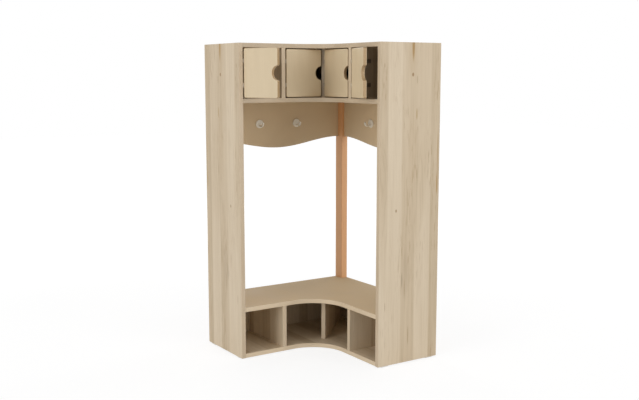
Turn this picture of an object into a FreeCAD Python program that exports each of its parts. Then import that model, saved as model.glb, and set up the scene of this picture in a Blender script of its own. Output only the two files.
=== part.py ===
import FreeCAD, Part
import math
import os
from collections import namedtuple

# Corner coat unit: two equal wings that meet in a room corner, with a seat over four shoe
# compartments, coat hooks on two wavy boards and four compartments with doors at the top.
# Pieces are drawn in millimetres from the room corner: the left wing runs along -X with its back
# on the wall y = 0, the right wing runs along -Y with its back on the wall x = 0, and z = 0 is the
# underside of the side panels. The export moves the origin to the middle of the floor space.

V = FreeCAD.Vector
UP = V(0, 0, 1)
CORNER = V(0, 0, 0)
OUT = V(0, -1, 0)
ALONG = V(1, 0, 0)
QUARTER_TURN = 90
DIAGONAL_TURN = 45
SAME_PLACE = 0.01

# Carcass
panel_height = 1300.0
wing_length = 708.0
wing_depth = 306.0
board = 18.0
front_setback = 2.0
corner_radius = 148.0
seat_top = 214.0
opening_height = 204.0
outer_width = 182.0
centre_setback = 6.0
edge_band = 2.0
edge_round = 1.2

# Thin backs in grooves
back_inset = 6.0
back_thickness = 3.0
groove_depth = 6.0
groove_fit = 0.2

# Corner post and hook boards
post_width = 30.0
post_depth = 50.0
post_round = 2.0
wave_mean = 869.0
wave_height = 20.0
wave_points = 24

# Coat hooks
hook_from_corner = 262.0
hook_spacing = 192.0
hook_level = 957.0
hook_base = 37.0
hook_base_thickness = 5.0
hook_base_round = 1.5
hook_rod = 8.0
hook_reach = 38.0
hook_drop = 9.0
hook_bend = 11.0
hook_tip_level = 3.0
hook_tip = 10.0

# Doors
door_thickness = 15.0
door_gap = 3.5
hinge_gap = 5.0
latch_gap = 5.0
corner_gap = 9.0
door_corner = 7.0
door_round = 2.5
notch_radius = 28.0
notch_lip = 6.0
left_outer_ajar = 69.0
right_outer_ajar = 20.0

# Hinges
hinge_spacing = 97.0
hinge_height = 16.0
leaf = 1.2
strap_length = 100.0
strap_screws = (32.0, 86.0)
wrap_length = 24.0
wrap_screws = (8.0, 18.0)
barrel = 4.2
pin_diameter = 2.0
pin_fit = 0.05
knuckle = 5.0
knuckle_fit = 0.2
barrel_relief = 0.4

# Door stops
stop_diameter = 8.0
stop_height = 12.0
stop_stem = 5.0
stop_stem_length = 9.0
stop_from_edge = 20.0
stop_gap = 0.5

# Fasteners and feet
dowel = 8.0
dowel_length = 32.0
dowel_wall = 1.0
dowel_from_edge = 40.0
post_dowel_from_edge = 12.5
cam_from_edge = 85.0
cam_diameter = 15.0
cam_height = 12.5
cam_reach = 34.0
cam_slot = 1.5
cam_slot_depth = 2.0
bolt_thread = 5.0
bolt_thread_length = 11.0
bolt_shaft = 6.0
hole_fit = 0.15
end_fit = 0.5
screw_diameter = 3.0
screw_length = 10.0
screw_head = 6.0
screw_head_height = 1.6
hook_screw = 4.0
hook_screw_head = 8.0
hook_screw_head_height = 2.5
hook_screw_sink = 2.8
hook_screw_bite = 3.5
glide_length = 40.0
glide_inset = 1.0
glide_height = 4.0
glide_round = 1.0
glide_nail = 2.5
glide_nail_length = 14.0
glide_from_edge = 36.0
corner_glide = 85.0
front_glide = 410.0

# Places that follow from the sizes above
front = wing_depth - front_setback
board_end = wing_length - board
dowel_in_board = board - groove_depth - dowel_wall
glide_width = board - 2 * glide_inset
divider_outer = board_end - outer_width
divider_inner = divider_outer - board
divider_back = back_inset + back_thickness + groove_fit
shelf_top = panel_height - board - opening_height
bottom_level = 0.0
seat_level = seat_top - board
shelf_level = shelf_top - board
top_level = panel_height - board
board_names = ("bottom_board", "seat_board", "shelf_board", "top_board")
board_levels = (bottom_level, seat_level, shelf_level, top_level)
rows = ((bottom_level + board, seat_level), (shelf_top, top_level))
centre_front = (front - centre_setback) * math.sqrt(2)
centre_back = divider_back * math.sqrt(2) + board / 2
hinge_axis = hinge_gap / 2
door_bottom = shelf_top + door_gap
door_height = opening_height - 2 * door_gap
door_middle = shelf_top + opening_height / 2
hinge_levels = (door_middle - hinge_spacing / 2, door_middle + hinge_spacing / 2)

# A door opens on the hinge beside the carcass face that lies that far from the room corner
Door = namedtuple("Door", "wing face width ajar strap_turn")
outer_door_width = outer_width - hinge_gap - latch_gap
inner_door_width = divider_inner - hinge_gap - corner_gap - front
corner_face = front + corner_gap - hinge_gap
doors = {
    "left_outer_door": Door("left", board_end, outer_door_width, left_outer_ajar, 0),
    "left_inner_door": Door("left", divider_inner, inner_door_width, 0, 0),
    "right_inner_door": Door("right", corner_face, inner_door_width, 0, DIAGONAL_TURN),
    "right_outer_door": Door("right", divider_outer, outer_door_width, right_outer_ajar, 0),
}

# A straight fastener: where it starts, which way it points, its length and its diameter
Pin = namedtuple("Pin", "start way length diameter")


def block(x0, x1, y0, y1, z0, z1):
    """Box between two corners."""
    return Part.makeBox(x1 - x0, y1 - y0, z1 - z0, V(x0, y0, z0))


def rod(pin):
    """Cylinder of a straight fastener."""
    return Part.makeCylinder(pin.diameter / 2, pin.length, pin.start, pin.way)


def hole(pin):
    """Hole for a straight fastener, a little wider and longer than the fastener."""
    start = pin.start - pin.way * end_fit
    return Part.makeCylinder(pin.diameter / 2 + hole_fit, pin.length + 2 * end_fit, start, pin.way)


def bored(shape, holes):
    """Cut the holes that reach into a piece."""
    reached = [cut for cut in holes if cut.BoundBox.intersect(shape.BoundBox)]
    return shape.cut(reached) if reached else shape


def across(shape):
    """Mirror a left-wing piece across the diagonal, into the right wing."""
    return shape.mirror(CORNER, V(1, -1, 0))


def both(shapes):
    """Pieces of the left wing together with their mirror images in the right wing."""
    return shapes + [across(shape) for shape in shapes]


def diagonal(shape):
    """Turn a piece drawn along -X onto the diagonal of the corner."""
    turned = shape.copy()
    turned.rotate(CORNER, UP, DIAGONAL_TURN)
    return turned


def edges_where(shape, test):
    """Edges whose two ends and middle all pass a test."""
    chosen = []
    for edge in shape.Edges:
        points = [vertex.Point for vertex in edge.Vertexes]
        points.append(edge.valueAt((edge.FirstParameter + edge.LastParameter) / 2))
        if all(test(point) for point in points):
            chosen.append(edge)
    return chosen


def near(value, target):
    """Whether two lengths are the same for the purpose of choosing edges."""
    return abs(value - target) < SAME_PLACE


# Boards, panels and dividers

def corner_plan(depth, radius):
    """Plan of an L-shaped board whose inner corner is a hollow curve."""
    tangent = depth + radius
    middle = radius / math.sqrt(2) - tangent
    left_tangent = V(-tangent, -depth, 0)
    right_tangent = V(-depth, -tangent, 0)
    outer = [V(0, -board_end, 0), CORNER, V(-board_end, 0, 0), V(-board_end, -depth, 0), left_tangent]
    curve = Part.Arc(left_tangent, V(middle, middle, 0), right_tangent).toShape()
    inner = [right_tangent, V(-depth, -board_end, 0), V(0, -board_end, 0)]
    edges = Part.makePolygon(outer).Edges + [curve] + Part.makePolygon(inner).Edges
    return Part.Face(Part.Wire(edges))


def corner_slab(depth, radius, level):
    """L-shaped slab of board thickness at a level."""
    slab = corner_plan(depth, radius).extrude(V(0, 0, board))
    slab.translate(V(0, 0, level))
    return slab


def board_core(level):
    """L-shaped board without its edge band."""
    return corner_slab(front - edge_band, corner_radius + edge_band, level)


def board_edge(level):
    """Edge band along the whole curved front of a board, with eased edges."""
    band = corner_slab(front, corner_radius, level).cut(board_core(level))
    tangent = front + corner_radius

    def on_front(point):
        straight = near(point.y, -front) or near(point.x, -front)
        curve = near(math.hypot(point.x + tangent, point.y + tangent), corner_radius)
        return (straight or curve) and (near(point.z, level) or near(point.z, level + board))

    return band.makeFillet(edge_round, edges_where(band, on_front))


def back_groove(low, high):
    """Grooves that hold the two thin backs of one row of compartments."""
    near_wall = groove_fit - back_inset
    far_wall = -divider_back
    end = -board_end - groove_depth - groove_fit
    low_edge = low - groove_depth - groove_fit
    high_edge = high + groove_depth + groove_fit
    left = block(end, near_wall, far_wall, near_wall, low_edge, high_edge)
    return left.fuse(across(left))


def thin_backs(low, high):
    """Left and right back of one row; the right one butts against the left one."""
    far = -back_inset - back_thickness
    end = -board_end - groove_depth
    left = block(end, -back_inset, far, -back_inset, low - groove_depth, high + groove_depth)
    right = block(far, -back_inset, end, far - groove_fit, low - groove_depth, high + groove_depth)
    return left, right


def side_panel():
    """Left side panel without its edge band."""
    return block(-wing_length, -board_end, edge_band - wing_depth, 0, 0, panel_height)


def side_panel_edge():
    """Edge band on the front of the left side panel, with eased edges."""
    band = block(-wing_length, -board_end, -wing_depth, edge_band - wing_depth, 0, panel_height)
    return band.makeFillet(edge_round, edges_where(band, lambda point: near(point.y, -wing_depth)))


def wing_divider(low, high):
    """Left divider between two boards, and its edge band."""
    core = block(-divider_outer, -divider_inner, edge_band - front, -divider_back, low, high)
    band = block(-divider_outer, -divider_inner, -front, edge_band - front, low, high)

    def upright_front(point):
        return near(point.y, -front) and not near(point.x, -(divider_outer + divider_inner) / 2)

    return core, band.makeFillet(edge_round, edges_where(band, upright_front))


def centre_divider(low, high):
    """Diagonal divider in the inner corner, and its edge band."""
    core = block(edge_band - centre_front, -centre_back, -board / 2, board / 2, low, high)
    band = block(-centre_front, edge_band - centre_front, -board / 2, board / 2, low, high)

    def upright_front(point):
        return near(point.x, -centre_front) and not near(point.y, 0)

    band = band.makeFillet(edge_round, edges_where(band, upright_front))
    return diagonal(core), diagonal(band)


# Post, hook boards and hooks

def corner_post():
    """Solid post in the room corner, from the seat to the shelf, with its room edge eased."""
    post = block(-post_width, 0, -post_depth, 0, seat_top, shelf_level)

    def room_edge(point):
        return near(point.x, -post_width) and near(point.y, -post_depth)

    return post.makeFillet(post_round, edges_where(post, room_edge))


def hook_board(post_face):
    """Left hook board from the side panel to the post, with one wave along its lower edge."""
    span = board_end - post_face

    def wave(share):
        level = wave_mean + wave_height * math.cos(2 * math.pi * share)
        return V(share * span - board_end, 0, level)

    curve = Part.BSplineCurve()
    curve.interpolate([wave(step / wave_points) for step in range(wave_points + 1)])
    rest = [wave(1), V(-post_face, 0, shelf_level), V(-board_end, 0, shelf_level), wave(0)]
    edges = [curve.toShape()] + Part.makePolygon(rest).Edges
    return Part.Face(Part.Wire(edges)).extrude(V(0, -board, 0))


def coat_hook(distance):
    """Hook on the left hook board: round base and a rod that turns up at its end."""
    base = Part.makeCylinder(hook_base / 2, hook_base_thickness, V(-distance, -board, hook_level), OUT)
    rim = edges_where(base, lambda point: near(point.y, -board - hook_base_thickness))
    base = base.makeFillet(hook_base_round, rim)
    level = hook_level - hook_drop
    straight = hook_reach - hook_bend - hook_rod / 2
    arm = rod(Pin(V(-distance, -board, level), OUT, straight, hook_rod))
    elbow_start = V(-distance, -board - straight, level)
    section = Part.Face(Part.Wire(Part.makeCircle(hook_rod / 2, elbow_start, OUT)))
    elbow = section.revolve(elbow_start + UP * hook_bend, ALONG * -1, QUARTER_TURN)
    foot = elbow_start + OUT * hook_bend + UP * hook_bend
    tip = V(foot.x, foot.y, hook_level + hook_tip_level)
    upright = rod(Pin(foot, UP, tip.z - foot.z, hook_rod))
    ball = Part.makeSphere(hook_tip / 2, tip)
    return base.fuse([arm, elbow, upright, ball]).removeSplitter()


def hook_screw_pins(distance):
    """Head and shank of the screw that holds a hook from behind, sunk into the board."""
    head_start = V(-distance, hook_screw_head_height - hook_screw_sink, hook_level)
    head = Pin(head_start, OUT, hook_screw_head_height, hook_screw_head)
    shank_length = board - hook_screw_sink + hook_screw_bite
    shank = Pin(V(-distance, -hook_screw_sink, hook_level), OUT, shank_length, hook_screw)
    return head, shank


# Doors and hinges: u runs from the hinge along the door, v goes inwards from the door front

def arc(centre, radius, begin, end):
    """Arc in the plane of a door front, between two angles in degrees."""
    def at(angle):
        bearing = math.radians(angle)
        return centre + V(radius * math.cos(bearing), 0, radius * math.sin(bearing))

    return Part.Arc(at(begin), at((begin + end) / 2), at(end)).toShape()


def closed_outline(arcs):
    """Wire through arcs that straight lines join end to end."""
    edges = []
    for current, following in zip(arcs, arcs[1:] + arcs[:1]):
        edges.append(current)
        leave = current.valueAt(current.LastParameter)
        arrive = following.valueAt(following.FirstParameter)
        if leave.distanceToPoint(arrive) > SAME_PLACE:
            edges.append(Part.makeLine(leave, arrive))
    return Part.Wire(edges)


def door_panel(width):
    """Door with rounded corners and a half-round finger notch in its free edge."""
    near_edge = hinge_gap + door_corner
    free_edge = hinge_gap + width
    far_edge = free_edge - door_corner
    low = door_bottom + door_corner
    high = door_bottom + door_height - door_corner
    lip_rise = math.sqrt((notch_radius + notch_lip) ** 2 - notch_lip ** 2)
    lip_turn = math.degrees(math.atan2(lip_rise, notch_lip))
    lip = free_edge - notch_lip
    arcs = [
        arc(V(near_edge, 0, low), door_corner, 180, 270),
        arc(V(far_edge, 0, low), door_corner, 270, 360),
        arc(V(lip, 0, door_middle - lip_rise), notch_lip, 0, lip_turn),
        arc(V(free_edge, 0, door_middle), notch_radius, 180 + lip_turn, 180 - lip_turn),
        arc(V(lip, 0, door_middle + lip_rise), notch_lip, -lip_turn, 0),
        arc(V(far_edge, 0, high), door_corner, 0, 90),
        arc(V(near_edge, 0, high), door_corner, 90, 180),
    ]
    slab = Part.Face(closed_outline(arcs)).extrude(V(0, door_thickness, 0))
    faces = (0, door_thickness)
    rims = edges_where(slab, lambda point: any(near(point.y, face) for face in faces))
    return slab.makeFillet(door_round, rims)


def knuckles(level, low, high):
    """Part of a hinge barrel between two heights above the foot of the hinge."""
    foot = V(hinge_axis, 0, level - hinge_height / 2 + low)
    return Part.makeCylinder(barrel / 2, high - low, foot, UP)


def pin_bore(level, extra):
    """Hinge pin, or the bore that it turns in."""
    foot = V(hinge_axis, 0, level - hinge_height / 2 - extra)
    return Part.makeCylinder(pin_diameter / 2 + extra, hinge_height + 2 * extra, foot, UP)


def strap_bend(door):
    """How far behind the door front the strap of a hinge turns towards its divider."""
    return board / math.sqrt(2) + front - door.face


def strap_point(door, distance, stand_off):
    """Point along a strap, that far off the face that carries it, and the way into that face."""
    turn = math.radians(door.strap_turn)
    start = strap_bend(door) if door.strap_turn else 0
    along = V(-math.sin(turn), math.cos(turn), 0)
    off = V(math.cos(turn), math.sin(turn), 0)
    return V(0, start, 0) + along * (distance - start) + off * stand_off, off * -1


def strap_plan(door):
    """Plan of the leaf that lies on the carcass, bent where the divider stands at an angle."""
    inner_end, _ = strap_point(door, strap_length, 0)
    outer_end, _ = strap_point(door, strap_length, leaf)
    if not door.strap_turn:
        return [CORNER, V(leaf, 0, 0), outer_end, inner_end]
    bend = strap_bend(door)
    outer_bend = bend + leaf * math.tan(math.radians(door.strap_turn / 2))
    return [CORNER, V(leaf, 0, 0), V(leaf, outer_bend, 0), outer_end, inner_end, V(0, bend, 0)]


def frame_leaf(door, level):
    """Hinge leaf on the carcass, with the two outer knuckles."""
    plan = strap_plan(door)
    plate = Part.Face(Part.makePolygon(plan + plan[:1])).extrude(V(0, 0, hinge_height))
    plate.translate(V(0, 0, level - hinge_height / 2))
    half_gap = hinge_height / 2 - knuckle + knuckle_fit
    clear = barrel / 2 + barrel_relief
    window = block(-leaf, hinge_gap, -leaf, clear, level - half_gap, level + half_gap)
    body = plate.cut(window).fuse([
        knuckles(level, 0, knuckle),
        knuckles(level, hinge_height - knuckle, hinge_height),
    ])
    holes = [hole(pin) for pin in strap_shanks(door, level)]
    return body.cut(holes + [pin_bore(level, pin_fit)])


def door_leaf(level):
    """Hinge leaf on the door: round its edge and onto its back, with the middle knuckle."""
    low = level - hinge_height / 2
    edge_part = block(hinge_gap - leaf, hinge_gap, 0, door_thickness + leaf, low, low + hinge_height)
    back_end = hinge_gap + wrap_length
    back = block(hinge_gap - leaf, back_end, door_thickness, door_thickness + leaf,
                 low, low + hinge_height)
    clear = barrel / 2 + barrel_relief
    window = block(0, hinge_gap + leaf, -leaf, clear, low, low + knuckle + knuckle_fit)
    other = window.copy()
    other.translate(V(0, 0, hinge_height - knuckle - knuckle_fit))
    plate = edge_part.fuse(back).removeSplitter().cut([window, other])
    body = plate.fuse(knuckles(level, knuckle + knuckle_fit, hinge_height - knuckle - knuckle_fit))
    holes = [hole(pin) for pin in wrap_shanks(level)]
    return body.cut(holes + [pin_bore(level, pin_fit)])


def strap_shanks(door, level):
    """Shanks of the screws that hold a frame leaf."""
    shanks = []
    for distance in strap_screws:
        point, way = strap_point(door, distance, leaf)
        shanks.append(Pin(point + UP * level, way, screw_length, screw_diameter))
    return shanks


def wrap_shanks(level):
    """Shanks of the screws that hold a door leaf to the back of its door."""
    height = door_thickness + leaf
    starts = [V(hinge_gap + distance, height, level) for distance in wrap_screws]
    return [Pin(start, OUT, screw_length, screw_diameter) for start in starts]


def screw(shank):
    """Screw with a low round head that sits on the hinge leaf."""
    head = rod(Pin(shank.start, shank.way * -1, screw_head_height, screw_head))
    rims = [edge for edge in head.Edges if edge.isClosed()]
    crown = max(rims, key=lambda rim: rim.CenterOfMass.distanceToPoint(shank.start))
    return head.makeFillet(screw_head_height / 2, [crown]).fuse(rod(shank))


def set_on_wing(shape, door):
    """Move a piece from the door's own frame to its opening."""
    placed = shape.copy()
    if door.wing == "left":
        placed.translate(V(-door.face, -front, 0))
    else:
        placed.rotate(CORNER, UP, -QUARTER_TURN)
        placed.translate(V(-front, -door.face, 0))
    return placed


def swung(shape, door):
    """Turn a piece of a door about its hinge to the angle at which the door stands."""
    turned = shape.copy()
    turned.rotate(V(hinge_axis, 0, 0), UP, -door.ajar)
    return set_on_wing(turned, door)


def stop_pins(door):
    """Peg of a door stop below the top board, and its stem in a hole in that board."""
    foot = V(hinge_gap + door.width - stop_from_edge, door_thickness + stop_gap + stop_diameter / 2, 0)
    peg = Pin(foot + UP * (top_level - stop_height), UP, stop_height, stop_diameter)
    stem = Pin(foot + UP * top_level, UP, stop_stem_length, stop_stem)
    return peg, stem


# Fasteners of the left wing, of the diagonal and of the post

def depth_places(margin):
    """Two places across a board's depth, the same distance from its front and from its back."""
    return margin, front - margin


def board_dowels():
    """Dowels between the left ends of the four boards and the side panel."""
    x = -board_end - dowel_in_board
    places = [(depth, level) for level in board_levels for depth in depth_places(dowel_from_edge)]
    return [Pin(V(x, -depth, level + board / 2), ALONG, dowel_length, dowel) for depth, level in places]


def upright_dowels(x, y, low, high):
    """Dowels at the foot and at the head of an upright piece between two levels."""
    foot = Pin(V(x, y, low - dowel_in_board), UP, dowel_length, dowel)
    head = Pin(V(x, y, high + dowel_in_board), UP * -1, dowel_length, dowel)
    return [foot, head]


def wing_divider_dowels():
    """Dowels of the left dividers."""
    x = -(divider_outer + divider_inner) / 2
    depths = (divider_back + dowel_from_edge, front - dowel_from_edge)
    return [pin for row in rows for depth in depths for pin in upright_dowels(x, -depth, *row)]


def centre_divider_dowels():
    """Dowels of the diagonal dividers, drawn along -X."""
    depths = (centre_back + dowel_from_edge, centre_front - dowel_from_edge)
    return [pin for row in rows for depth in depths for pin in upright_dowels(-depth, 0, *row)]


def post_dowels():
    """Two dowels at each end of the post."""
    x = -post_width / 2
    depths = (post_dowel_from_edge, post_depth - post_dowel_from_edge)
    return [pin for depth in depths for pin in upright_dowels(x, -depth, seat_top, shelf_level)]


def hook_board_dowels(post_face):
    """Dowels at both ends of the left hook board."""
    levels = (wave_mean + wave_height + dowel_from_edge, shelf_level - dowel_from_edge)
    pins = []
    for level in levels:
        panel_end = V(-board_end - dowel_in_board, -board / 2, level)
        post_end = V(dowel_in_board - post_face, -board / 2, level)
        pins.append(Pin(panel_end, ALONG, dowel_length, dowel))
        pins.append(Pin(post_end, ALONG * -1, dowel_length, dowel))
    return pins


def dowel_groups(solid):
    """Every dowel, or every dowel hole, by the pieces that the dowels join."""
    right_hook_dowels = [across(solid(pin)) for pin in hook_board_dowels(post_depth)]
    centre_dowels = [diagonal(solid(pin)) for pin in centre_divider_dowels()]
    return {
        "board_dowels": both([solid(pin) for pin in board_dowels()]),
        "divider_dowels": both([solid(pin) for pin in wing_divider_dowels()]) + centre_dowels,
        "post_dowels": [solid(pin) for pin in post_dowels()],
        "hook_board_dowels": [solid(pin) for pin in hook_board_dowels(post_width)] + right_hook_dowels,
    }


def cam_places():
    """Depth and level of each cam fitting on the left side panel."""
    return [(depth, level) for level in board_levels for depth in depth_places(cam_from_edge)]


def bolt_pins(depth, level):
    """Thread in the side panel and shaft in the board of one cam bolt."""
    start = V(-board_end, -depth, level + board / 2)
    thread = Pin(start - ALONG * bolt_thread_length, ALONG, bolt_thread_length, bolt_thread)
    return thread, Pin(start, ALONG, cam_reach, bolt_shaft)


def cam_pin(depth, level):
    """Round housing of a cam lock in the underside of its board."""
    return Pin(V(cam_reach - board_end, -depth, level), UP, cam_height, cam_diameter)


def cam_lock(depth, level):
    """Cam lock with the hole that takes the bolt and a cross slot for the driver."""
    pin = cam_pin(depth, level)
    reach = cam_diameter / 2
    x = pin.start.x
    slot = block(x - reach, x + reach, -cam_slot / 2 - depth, cam_slot / 2 - depth,
                 level, level + cam_slot_depth)
    cross = slot.copy()
    cross.rotate(pin.start, UP, QUARTER_TURN)
    return rod(pin).cut([hole(bolt_pins(depth, level)[1]), slot, cross])


def panel_glides():
    """Middles of the foot glides under the left side panel."""
    x = board / 2 - wing_length
    return [V(x, -depth, 0) for depth in depth_places(glide_from_edge)]


def diagonal_glides():
    """Middles of the foot glides under the bottom board, drawn along -X."""
    return [V(-distance, 0, 0) for distance in (corner_glide, front_glide)]


def glide_nails(spot):
    """Two nails of a foot glide, driven up into the board."""
    reach = (glide_length - glide_width) / 2
    return [Pin(spot + OUT * step, UP, glide_nail_length, glide_nail) for step in (reach, -reach)]


def foot_glide(spot):
    """Flat glide with round ends, together with its nails."""
    nails = glide_nails(spot)
    ends = [rod(Pin(nail.start, UP * -1, glide_height, glide_width)) for nail in nails]
    side = glide_width / 2
    low_end, high_end = [nail.start.y for nail in nails]
    middle = block(spot.x - side, spot.x + side, low_end, high_end, -glide_height, 0)
    glide = middle.fuse(ends).removeSplitter()
    rim = edges_where(glide, lambda point: near(point.z, -glide_height))
    return glide.makeFillet(glide_round, rim).fuse([rod(nail) for nail in nails])


def glides(solid):
    """Solids of all glides, or of all their nail holes, under the panels and on the diagonal."""
    under_panels = [shape for spot in panel_glides() for shape in solid(spot)]
    on_diagonal = [diagonal(shape) for spot in diagonal_glides() for shape in solid(spot)]
    return both(under_panels) + on_diagonal


# Every hole that a fastener needs

hook_distances = (hook_from_corner, hook_from_corner + hook_spacing)
hinge_places = [(door, level) for door in doors.values() for level in hinge_levels]
holes = [cut for group in dowel_groups(hole).values() for cut in group]
holes += both([hole(pin) for place in cam_places() for pin in bolt_pins(*place)])
holes += both([hole(cam_pin(*place)) for place in cam_places()])
holes += both([hole(pin) for distance in hook_distances for pin in hook_screw_pins(distance)])
holes += glides(lambda spot: [hole(nail) for nail in glide_nails(spot)])
holes += [set_on_wing(hole(stop_pins(door)[1]), door) for door in doors.values()]
for door, level in hinge_places:
    holes += [set_on_wing(hole(pin), door) for pin in strap_shanks(door, level)]

# Nodes: each name holds one solid, or a list of separate solids that are alike

grooves = [back_groove(*row) for row in rows]
nodes = {}

left_panel = side_panel()
nodes["left_side_panel"] = bored(left_panel, holes + grooves)
nodes["right_side_panel"] = bored(across(left_panel), holes + grooves)
nodes["side_panel_edges"] = both([side_panel_edge()])

for name, level in zip(board_names, board_levels):
    nodes[name] = bored(board_core(level), holes + grooves)
    nodes[name + "_edge"] = board_edge(level)

divider_edges = []
for height, row in zip(("lower", "upper"), rows):
    core, band = wing_divider(*row)
    centre, centre_band = centre_divider(*row)
    nodes[height + "_left_divider"] = bored(core, holes)
    nodes[height + "_right_divider"] = bored(across(core), holes)
    nodes[height + "_centre_divider"] = bored(centre, holes)
    divider_edges += both([band]) + [centre_band]
    nodes[height + "_left_back"], nodes[height + "_right_back"] = thin_backs(*row)
nodes["divider_edges"] = divider_edges

nodes["corner_post"] = bored(corner_post(), holes)
nodes["left_hook_board"] = bored(hook_board(post_width), holes)
nodes["right_hook_board"] = bored(across(hook_board(post_depth)), holes)
for place, distance in zip(("inner", "outer"), hook_distances):
    hook = bored(coat_hook(distance), holes)
    nodes["left_" + place + "_coat_hook"] = hook
    nodes["right_" + place + "_coat_hook"] = across(hook)

hook_screw_pairs = [hook_screw_pins(distance) for distance in hook_distances]
nodes["hook_screws"] = both([rod(head).fuse(rod(shank)) for head, shank in hook_screw_pairs])
nodes.update(dowel_groups(rod))
bolt_pairs = [bolt_pins(*place) for place in cam_places()]
nodes["cam_bolts"] = both([rod(thread).fuse(rod(shaft)) for thread, shaft in bolt_pairs])
nodes["cam_locks"] = both([cam_lock(*place) for place in cam_places()])
nodes["foot_glides"] = glides(lambda spot: [foot_glide(spot)])

stop_pairs = [(door, stop_pins(door)) for door in doors.values()]
nodes["door_stops"] = [set_on_wing(rod(peg).fuse(rod(stem)), door) for door, (peg, stem) in stop_pairs]
nodes["hinge_frame_leaves"] = [set_on_wing(frame_leaf(*place), place[0]) for place in hinge_places]
nodes["hinge_pins"] = [set_on_wing(pin_bore(level, 0), door) for door, level in hinge_places]
nodes["hinge_frame_screws"] = [
    set_on_wing(screw(shank), door)
    for door, level in hinge_places
    for shank in strap_shanks(door, level)
]

for name, door in doors.items():
    shanks = [shank for level in hinge_levels for shank in wrap_shanks(level)]
    panel = bored(door_panel(door.width), [hole(shank) for shank in shanks])
    nodes[name] = swung(panel, door)
    nodes[name + "_hinge_leaves"] = [swung(door_leaf(level), door) for level in hinge_levels]
    nodes[name + "_hinge_screws"] = [swung(screw(shank), door) for shank in shanks]

os.makedirs("parts", exist_ok=True)
to_floor_middle = V(wing_length / 2, wing_length / 2, glide_height)
for name, content in nodes.items():
    shape = Part.makeCompound(content) if isinstance(content, list) else content.copy()
    shape.translate(to_floor_middle)
    shape.exportStep("parts/" + name + ".step")
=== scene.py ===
import math
from collections import namedtuple

import bpy
from mathutils import Matrix, Vector


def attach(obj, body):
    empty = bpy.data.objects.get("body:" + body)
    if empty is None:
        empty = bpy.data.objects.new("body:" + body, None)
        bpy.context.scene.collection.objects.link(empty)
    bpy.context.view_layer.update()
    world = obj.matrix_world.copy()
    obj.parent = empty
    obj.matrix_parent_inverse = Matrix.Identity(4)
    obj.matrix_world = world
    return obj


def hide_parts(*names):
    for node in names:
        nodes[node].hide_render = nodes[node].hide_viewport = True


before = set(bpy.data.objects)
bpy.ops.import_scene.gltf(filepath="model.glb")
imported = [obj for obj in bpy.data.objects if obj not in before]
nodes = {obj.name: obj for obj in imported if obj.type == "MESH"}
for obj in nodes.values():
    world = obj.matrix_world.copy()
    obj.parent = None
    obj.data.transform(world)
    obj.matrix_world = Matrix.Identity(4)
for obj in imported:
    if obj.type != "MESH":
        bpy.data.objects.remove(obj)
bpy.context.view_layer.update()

# Sizes of the coat unit in metres, as the part's source has them
WALL = 0.354
FRONT = 0.050
BOARD = 0.018
PANEL_FACE = BOARD - WALL
OUTER_WIDTH = 0.182
DIVIDER_OUTER = PANEL_FACE + OUTER_WIDTH
DIVIDER_INNER = DIVIDER_OUTER + BOARD
CORNER_FACE = 0.046
SHELF_LEVEL = 1.064
POST_WIDTH = 0.030
POST_DEPTH = 0.050
POST_FACES = {"left": WALL - POST_WIDTH, "right": WALL - POST_DEPTH}

# Doors and their hinges
DOOR_THICKNESS = 0.015
DOOR_PLIES = 9
BACK_PLY_DEPTH = (0.0115, 0.0135)
DOOR_MIDDLE = 1.184
HINGE_SPACING = 0.097
HINGE_LEVELS = (DOOR_MIDDLE - HINGE_SPACING / 2, DOOR_MIDDLE + HINGE_SPACING / 2)
HINGE_GAP = 0.005
LEAF = 0.0012
STRAP_SCREWS = (0.032, 0.086)
WRAP_SCREWS = (0.008, 0.018)

# Hook boards and what holds the hooks
HOOK_FROM_CORNER = 0.262
HOOK_SPACING = 0.192
HOOK_PLACES = (WALL - HOOK_FROM_CORNER, WALL - HOOK_FROM_CORNER - HOOK_SPACING)
HOOK_LEVEL = 0.961
HOOK_SCREW_SINK = 0.0028
SCREW_HOLE = 0.0083
SCREW_HOLE_DEPTH = 0.0033
WAVE_MEAN = 0.873
WAVE_HEIGHT = 0.020
EASED_EDGE = 0.0008
EASED_ANGLE = 50

# Facets of the round shapes, and the angle in degrees up to which they are shaded smooth; the
# facets of a screw head keep clear of the corners of its recess
HEAD_SEGMENTS, HEAD_RINGS = 28, 16
SHANK_SIDES = 16
HOLE_SIDES = 32
WAVE_POINTS = 97
SMOOTH_ANGLE = 35

# Each door: its wing, the carcass face beside its hinge, how far it stands open and the turn of its
# hinge strap, both in degrees, and how pale its veneer is, which is painted light and shade: one
# veneer made paler or darker for the light that falls on each door
Door = namedtuple("Door", "wing face ajar strap_turn pale")
DOORS = {
    "left_outer_door": Door("left", PANEL_FACE, 69, 0, 0.98),
    "left_inner_door": Door("left", DIVIDER_INNER, 0, 0, 1.00),
    "right_inner_door": Door("right", CORNER_FACE, 0, 45, 1.03),
    "right_outer_door": Door("right", DIVIDER_OUTER, 20, 0, 1.06),
}

# Staves across one sheet of the planked decor: where each ends, counted from the back edge,
# and the tones of its back and front side, low down and high up
DECOR_SHEET = 0.306
STAVES = (
    (0.046, (0.34, 0.16), (0.38, 0.22)),
    (0.125, (0.80, 0.74), (0.64, 0.42)),
    (0.194, (0.30, 0.36), (0.42, 0.50)),
    (0.264, (0.72, 0.78), (0.88, 0.88)),
    (0.306, (0.82, 0.80), (0.42, 0.32)),
)
STAVE_BORDER = 0.003
GROWTH_LINE = 0.013
BOARD_FLECKS = 0.30
PANEL_FLECKS = 0.55

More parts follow.
